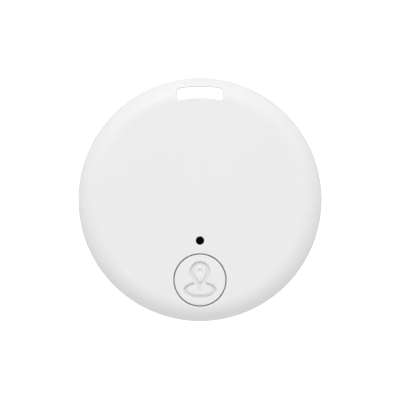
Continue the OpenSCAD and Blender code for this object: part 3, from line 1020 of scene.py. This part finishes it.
def chip_ends(solids):
    """The metal ends of two-ended parts, with their solder."""
    ends = []
    for centre, turn, size in solids:
        for side in (-1, 1):
            end = boxed((end_l, size.y, size.z), (side * (size.x - end_l) / 2, 0, size.z / 2))
            ends.append(placed(softened(end, 0.05), (centre.x, centre.y, top_z), turn))
    return together(*ends, *soldered(solids, solids[0][2].y * 0.95, solids[0][2].z * 0.6))


capacitor_solids = solids_of("chip_capacitors")
resistor_solids = solids_of("chip_resistors")
led_solids = solids_of("led_base")
capacitor_ceramic = moulded("capacitor_ceramic", (0.42, 0.28, 0.16), (0.5, 0.35, 0.22), 0.5, 0.004)
resistor_glaze = moulded("resistor_glaze", (0.018, 0.018, 0.02), (0.03, 0.03, 0.032), 0.3, 0.003)
led_white = moulded("led_white", (0.8, 0.79, 0.74), (0.86, 0.85, 0.8), 0.5, 0.004)
led_phosphor = moulded("led_phosphor", (0.85, 0.68, 0.16), (0.92, 0.78, 0.24), 0.35, 0.008)
make_piece("capacitor_bodies", chip_bodies(capacitor_solids, 0.05),
           "base", capacitor_ceramic, ["chip_capacitors"])
make_piece("capacitor_ends", chip_ends(capacitor_solids), "base", tin)
make_piece("resistor_bodies", chip_bodies(resistor_solids, 0.03),
           "base", resistor_glaze, ["chip_resistors"])
make_piece("resistor_ends", chip_ends(resistor_solids), "base", tin)
make_softened("led_housing", "led_base", "base", led_white, 0.03)
make_piece("led_ends", together(*soldered(led_solids, 0.7, 0.2, 0.2)), "base", tin)
make_softened("led_block", "led_lens", "base", led_phosphor, 0.08, 3)


# ---------------------------------------------------------------------------
# Coin cell. A deep-drawn steel can crimped over a nylon ring, a domed steel
# cap inside the ring and the pressed black powder core. A plus sign is
# stamped in the can's flat face.
# ---------------------------------------------------------------------------

can_low, can_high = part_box("cell_can")
cap_low, cap_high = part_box("cell_cap")
gasket_low, gasket_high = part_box("cell_gasket")
cell_xy = (0, (can_low.y + can_high.y) / 2 / MM)
cell_r = (can_high.x - can_low.x) / 2 / MM
can_z, can_top = can_low.z / MM, can_high.z / MM
cap_r, cap_z = (cap_high.x - cap_low.x) / 2 / MM, cap_low.z / MM
gasket_r = (gasket_high.x - gasket_low.x) / 2 / MM
can_t = 0.25
can_edge = 0.35

can_profile = (
    [(gasket_r + 0.02, can_z + can_t)]
    + arc((gasket_r + 0.1, can_z + 0.08), 0.08, 180, 270, 3)
    + arc((cell_r - can_edge, can_z + can_edge), can_edge, 270, 360, 8)
    + arc((cell_r - can_edge, can_top - can_edge), can_edge, 0, 90, 8)
    + [(cell_r - 0.9, can_top), (cell_r - 1.0, can_top - 0.03), (cell_r - 1.15, can_top - 0.03),
       (cell_r - 1.25, can_top), (0.4, can_top)]
)
can_inside = [(0.4, can_top - can_t), (cell_r - can_t - 0.1, can_top - can_t),
              (cell_r - can_t, can_top - can_t - 0.1), (cell_r - can_t, can_z + can_t)]
plus_sign = []
for turn in (0, 90):
    groove = boxed((2.6, 0.24, 0.24), (0, 0, 0))
    bmesh.ops.rotate(groove, cent=(0, 0, 0), matrix=Matrix.Rotation(math.radians(45), 3, "X"),
                     verts=groove.verts)
    plus_sign.append(placed(groove, (4.8, 0, can_top + 0.02), turn))
can_bm = carved(
    spun(can_profile + can_inside, steps=160, closed=True),
    ("UNION", spun([(0.6, can_top - can_t), (0.6, can_top)], steps=160)),
    ("DIFFERENCE", plus_sign[0]),
    ("DIFFERENCE", plus_sign[1]),
)
lid_profile = (
    [(0.5, cap_z), (cap_r - 1.5, cap_z), (cap_r - 1.3, cap_z + 0.04), (cap_r - 0.16, cap_z + 0.04)]
    + arc((cap_r - 0.12, cap_z + 0.16), 0.12, 270, 360, 4)
    + [(cap_r, cap_z + 1.2), (cap_r - can_t, cap_z + 1.2), (cap_r - can_t, cap_z + can_t + 0.02),
       (0.5, cap_z + can_t)]
)
lid_bm = carved(spun(lid_profile, steps=160, closed=True),
                ("UNION", spun([(0.7, cap_z), (0.7, cap_z + can_t)], steps=160)))
cell_steel = sheet_metal("cell_steel", (0.6, 0.6, 0.59), (0.72, 0.72, 0.71), 0.28)
cap_steel = sheet_metal("cap_steel", (0.58, 0.58, 0.57), (0.7, 0.7, 0.69), 0.32)
gasket_nylon = moulded("gasket_nylon", (0.06, 0.06, 0.065), (0.09, 0.09, 0.095), 0.5, 0.004)
cell_paste = moulded("cell_paste", (0.03, 0.03, 0.03), (0.06, 0.06, 0.06), 0.85, 0.02)
make_piece("cell_shell", placed(can_bm, (*cell_xy, 0), 0), "cell", cell_steel, ["cell_can"])
make_piece("cell_lid", placed(lid_bm, (*cell_xy, 0), 0), "cell", cap_steel, ["cell_cap"])
make_softened("cell_ring", "cell_gasket", "cell", gasket_nylon, 0.03)
make_softened("cell_powder", "cell_core", "cell", cell_paste, 0.08)


# ---------------------------------------------------------------------------
# Sound hole's dust guard. A ring of black foam tape holds a disc of woven black
# cloth behind the hole. The cloth's colour is painted shade, far darker than black
# cloth, and its gloss is turned down, so that the hole reads as deep shadow.
# ---------------------------------------------------------------------------

foam = moulded("black_foam", (0.02, 0.02, 0.02), (0.035, 0.035, 0.035), 0.9, 0.01)
# Painted shade: the cloth's colour (0.002 to 0.004) is darker than any black cloth and its specular level
# is cut to 0.05, so that the sound hole looks as dark as deep shadow
cloth = finished("black_cloth_painted_shade", glass_cloth, (0.002, 0.002, 0.002), (0.004, 0.004, 0.004), 0.9, 0.01, 0.0,
                 {"Threads per mm": 3.0})
cloth.node_tree.nodes["Principled BSDF"].inputs["Specular IOR Level"].default_value = 0.05
make_softened("dust_tape", "mesh_tape", "front", foam, 0.02, 1)
make_softened("dust_cloth", "dust_mesh", "front", cloth, 0.015, 1)
